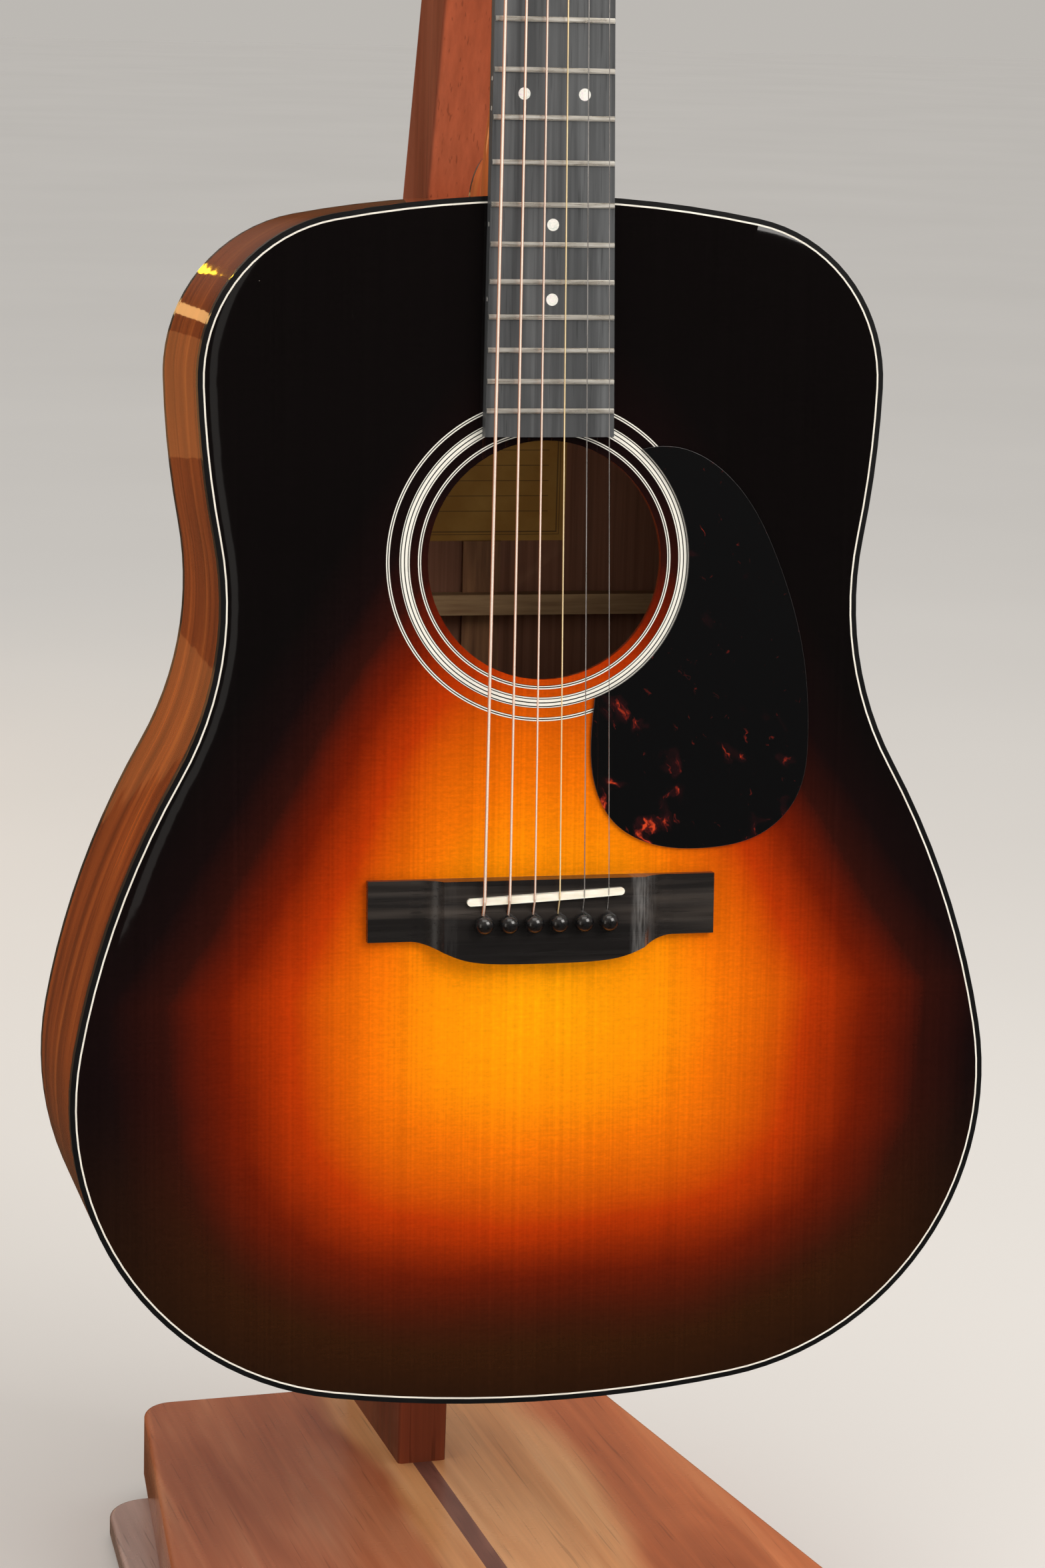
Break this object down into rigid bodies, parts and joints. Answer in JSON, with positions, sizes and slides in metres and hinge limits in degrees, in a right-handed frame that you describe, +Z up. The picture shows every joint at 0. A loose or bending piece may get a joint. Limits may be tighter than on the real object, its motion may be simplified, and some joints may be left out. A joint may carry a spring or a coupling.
{
  "type": "guitar on stand",
  "caption": "Steel-string acoustic guitar with a sunburst top, hanging by its headstock from the padded yoke of a curved wooden floor stand.",
  "frame": {"origin": "middle of the bounding box's underside, on the floor", "axes": "+Z up; the guitar's front faces -Y, turned 4 degrees; +X to the right of someone facing it"},
  "size_m": [0.4059, 0.378, 1.1898],
  "materials": {
    "sunburst_spruce": "gloss lacquer sunburst over fine vertical grain",
    "ring_plies": "white and black plies",
    "white_line": "gloss",
    "black_binding": "gloss",
    "red_mahogany": "gloss lacquer",
    "neck_mahogany": "satin lacquer",
    "raw_spruce": "unfinished",
    "raw_mahogany": "unfinished",
    "ebony": "oiled, satin",
    "bone": "polished",
    "black_pins": "gloss",
    "tortoise": "polished, dark with red specks",
    "pearl": "pearly",
    "fret_metal": "polished",
    "bronze_wound": "wound wire",
    "plain_steel": "drawn wire",
    "chrome": "polished",
    "screw_steel": "plated",
    "paper": null,
    "stand_cherry": "satin stain",
    "stand_base_wood": "satin lacquer, pale band at the middle",
    "stand_inlay_wood": "satin lacquer",
    "plinth_wood": "gloss lacquer",
    "rubber_foot": "matt",
    "pad_leather": "soft"
  },
  "bodies": {
    "stand": {"base_feet": "rubber_foot", "base_plinth": "plinth_wood", "base_board": "stand_base_wood", "base_inlay": "stand_inlay_wood", "post": "stand_cherry", "stand_screws": "screw_steel", "swivel_bolt": "screw_steel"},
    "yoke": {"yoke": "stand_cherry", "yoke_pads": "pad_leather"},
    "guitar": {"back_binding": "black_binding", "back_braces": "raw_spruce", "back_centre_strip": "raw_mahogany", "back_plate": "red_mahogany", "bridge": "ebony", "bridge_pins": "black_pins", "bridge_plate": "raw_mahogany", "end_pin": "black_pins", "fingerboard": "ebony", "frets": "fret_metal", "headplate": "ebony", "heel_cap": "black_binding", "kerfed_linings": "raw_mahogany", "neck": "neck_mahogany", "neck_block": "raw_mahogany", "nut": "bone", "paper_label": "paper", "pickguard": "tortoise", "position_dots": "pearl", "rosette_rings": "ring_plies", "saddle": "bone", "side_bass": "red_mahogany", "side_treble": "red_mahogany", "small_screws": "screw_steel", "soundboard": "sunburst_spruce", "string_1": "plain_steel", "string_2": "plain_steel", "string_3": "bronze_wound", "string_4": "bronze_wound", "string_5": "bronze_wound", "string_6": "bronze_wound", "tail_block": "raw_mahogany", "top_binding": "black_binding", "top_braces": "raw_spruce", "top_purfling": "white_line", "truss_cover": "black_binding", "truss_rod": "screw_steel", "tuner_bushings": "chrome", "tuner_housings": "chrome"},
    "post_6": {"string_post_6": "chrome"},
    "key_6": {"tuner_key_6": "chrome"},
    "post_5": {"string_post_5": "chrome"},
    "key_5": {"tuner_key_5": "chrome"},
    "post_4": {"string_post_4": "chrome"},
    "key_4": {"tuner_key_4": "chrome"},
    "post_3": {"string_post_3": "chrome"},
    "key_3": {"tuner_key_3": "chrome"},
    "post_2": {"string_post_2": "chrome"},
    "key_2": {"tuner_key_2": "chrome"},
    "post_1": {"string_post_1": "chrome"},
    "key_1": {"tuner_key_1": "chrome"}
  },
  "joints": [
    {"name": "yoke_swivel", "type": "hinge", "parent": "stand", "child": "yoke", "pos_m": [0.00402, 0.025, 1.015], "axis": [0, 0, 1], "range_deg": [-26, 34]},
    {"name": "guitar_lift", "type": "slide", "parent": "yoke", "child": "guitar", "axis": [0, 0, 1], "range_m": [0, 0.05]},
    {"name": "post_6_turn", "type": "hinge", "parent": "guitar", "child": "post_6", "pos_m": [-0.01916, -0.039, 1.06786], "axis": [0.0663, 0.9487, -0.309], "continuous": true},
    {"name": "key_6_turn", "type": "hinge", "parent": "guitar", "child": "key_6", "pos_m": [-0.01867, -0.03207, 1.05719], "axis": [0.9976, -0.0698, 0], "continuous": true},
    {"name": "post_5_turn", "type": "hinge", "parent": "guitar", "child": "post_5", "pos_m": [-0.01984, -0.02594, 1.1078], "axis": [0.0663, 0.9487, -0.309], "continuous": true},
    {"name": "key_5_turn", "type": "hinge", "parent": "guitar", "child": "key_5", "pos_m": [-0.01936, -0.01902, 1.09714], "axis": [0.9976, -0.0698, 0], "continuous": true},
    {"name": "post_4_turn", "type": "hinge", "parent": "guitar", "child": "post_4", "pos_m": [-0.02052, -0.01289, 1.14775], "axis": [0.0663, 0.9487, -0.309], "continuous": true},
    {"name": "key_4_turn", "type": "hinge", "parent": "guitar", "child": "key_4", "pos_m": [-0.02004, -0.00596, 1.13708], "axis": [0.9976, -0.0698, 0], "continuous": true},
    {"name": "post_3_turn", "type": "hinge", "parent": "guitar", "child": "post_3", "pos_m": [0.02616, -0.01615, 1.14775], "axis": [0.0663, 0.9487, -0.309], "continuous": true},
    {"name": "key_3_turn", "type": "hinge", "parent": "guitar", "child": "key_3", "pos_m": [0.02665, -0.00922, 1.13708], "axis": [0.9976, -0.0698, 0], "continuous": true},
    {"name": "post_2_turn", "type": "hinge", "parent": "guitar", "child": "post_2", "pos_m": [0.02367, -0.02899, 1.1078], "axis": [0.0663, 0.9487, -0.309], "continuous": true},
    {"name": "key_2_turn", "type": "hinge", "parent": "guitar", "child": "key_2", "pos_m": [0.02415, -0.02206, 1.09714], "axis": [0.9976, -0.0698, 0], "continuous": true},
    {"name": "post_1_turn", "type": "hinge", "parent": "guitar", "child": "post_1", "pos_m": [0.02117, -0.04182, 1.06786], "axis": [0.0663, 0.9487, -0.309], "continuous": true},
    {"name": "key_1_turn", "type": "hinge", "parent": "guitar", "child": "key_1", "pos_m": [0.02166, -0.0349, 1.05719], "axis": [0.9976, -0.0698, 0], "continuous": true}
  ],
  "couplings": [
    {"joint": "key_6_turn", "follows": "post_6_turn", "ratio": 14},
    {"joint": "key_5_turn", "follows": "post_5_turn", "ratio": 14},
    {"joint": "key_4_turn", "follows": "post_4_turn", "ratio": 14},
    {"joint": "key_3_turn", "follows": "post_3_turn", "ratio": -14},
    {"joint": "key_2_turn", "follows": "post_2_turn", "ratio": -14},
    {"joint": "key_1_turn", "follows": "post_1_turn", "ratio": -14}
  ]
}
